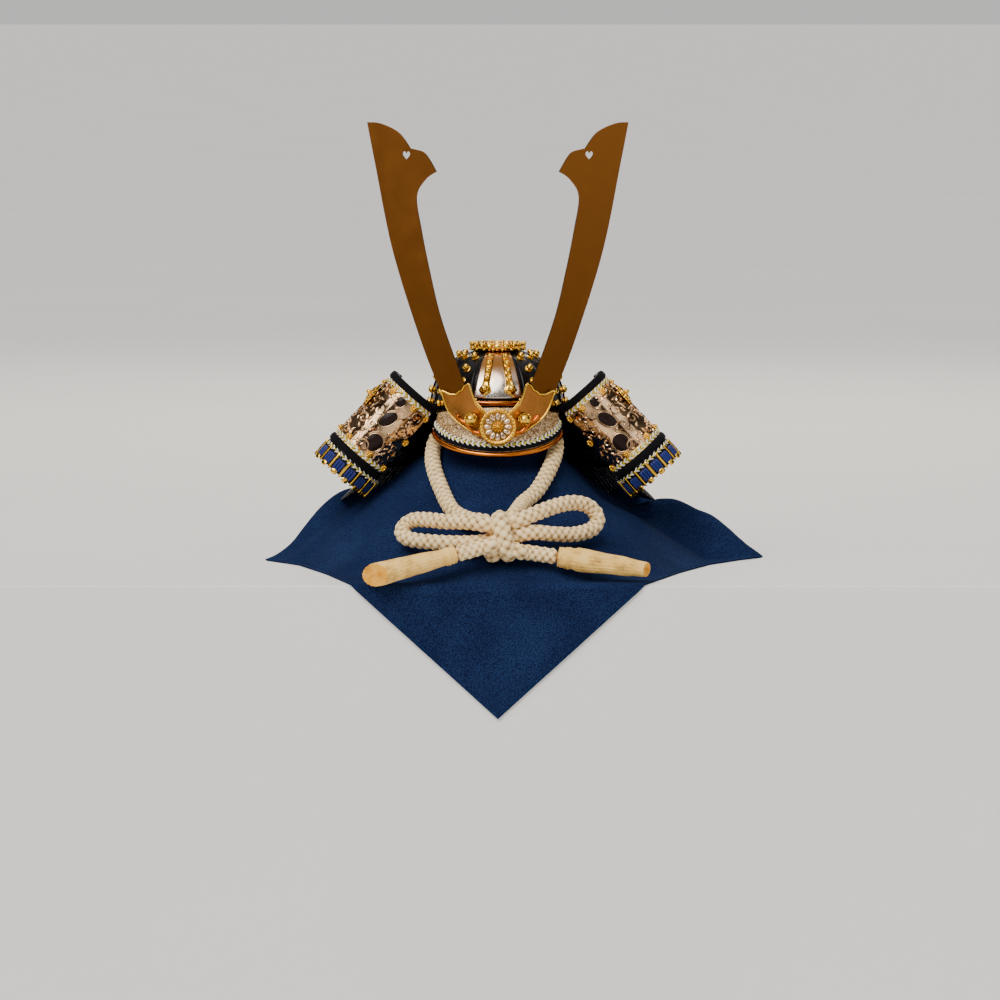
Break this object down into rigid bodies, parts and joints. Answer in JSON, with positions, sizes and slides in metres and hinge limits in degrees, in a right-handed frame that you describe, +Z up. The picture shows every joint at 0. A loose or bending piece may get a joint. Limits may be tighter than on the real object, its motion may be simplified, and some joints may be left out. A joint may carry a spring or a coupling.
{
  "type": "kabuto helmet on draped stand",
  "caption": "Display kabuto with tall horns, ribbed bowl, visor, neck guard and turnbacks, tied with a braided cord bow over a cloth-draped stand.",
  "frame": {"origin": "centre of the stand base's underside, on the ledge that the stand sits on", "axes": "+Z up, helmet facing -Y, +X to the helmet wearer's left; the cloth's front corner hangs over the ledge's front edge below z = 0"},
  "size_m": [0.322, 0.321, 0.3658],
  "materials": {
    "stand_wood": "plain pale wood, matt",
    "navy_crepe": "navy crepe with a fine pebbled weave, matt",
    "black_lacquer": "gloss black lacquer",
    "bright_gold": "gold-plated, satin to bright",
    "satin_bronze": "brushed bronze-gold, satin",
    "silver_plate": "warm silver plate, polished",
    "printed_leather": "printed leather, silver and gold pattern",
    "black_velvet": "black velvet edging with a woven braid",
    "blue_lacing": "blue lacing over gold slats",
    "cream_cord": "cream braided cord, soft matt",
    "straw_tassel": "straw-coloured tassel threads, silky"
  },
  "bodies": {
    "root": {"stand_base": "stand_wood", "stand_post": "stand_wood", "head_block": "stand_wood", "draped_cloth": "navy_crepe", "bowl": "black_lacquer", "neck_row_1": "black_lacquer", "neck_row_2": "black_lacquer", "neck_row_3": "black_lacquer", "neck_row_4": "black_lacquer", "neck_row_5": "black_lacquer", "turnback_board_left": "black_lacquer", "turnback_board_right": "black_lacquer", "crown_ring": "bright_gold", "front_strip_left": "bright_gold", "front_strip_right": "bright_gold", "brow_bar": "bright_gold", "visor_rim": "bright_gold", "horn_holder": "bright_gold", "holder_rivet_left": "bright_gold", "holder_rivet_right": "bright_gold", "medallion": "bright_gold", "crest_left": "bright_gold", "crest_right": "bright_gold", "horn_left": "satin_bronze", "horn_right": "satin_bronze", "front_plate": "silver_plate", "turnback_plate_left": "silver_plate", "turnback_plate_right": "silver_plate", "visor": "printed_leather", "turnback_upper_band_left": "black_velvet", "turnback_upper_band_right": "black_velvet", "turnback_lower_band_left": "black_velvet", "turnback_lower_band_right": "black_velvet", "turnback_tail_left": "blue_lacing", "turnback_tail_right": "blue_lacing", "chin_cord": "cream_cord", "knot": "cream_cord", "bow_loop_left": "cream_cord", "bow_loop_right": "cream_cord", "cord_tail_left": "cream_cord", "cord_tail_right": "cream_cord", "tassel_left": "straw_tassel", "tassel_right": "straw_tassel"}
  },
  "joints": []
}
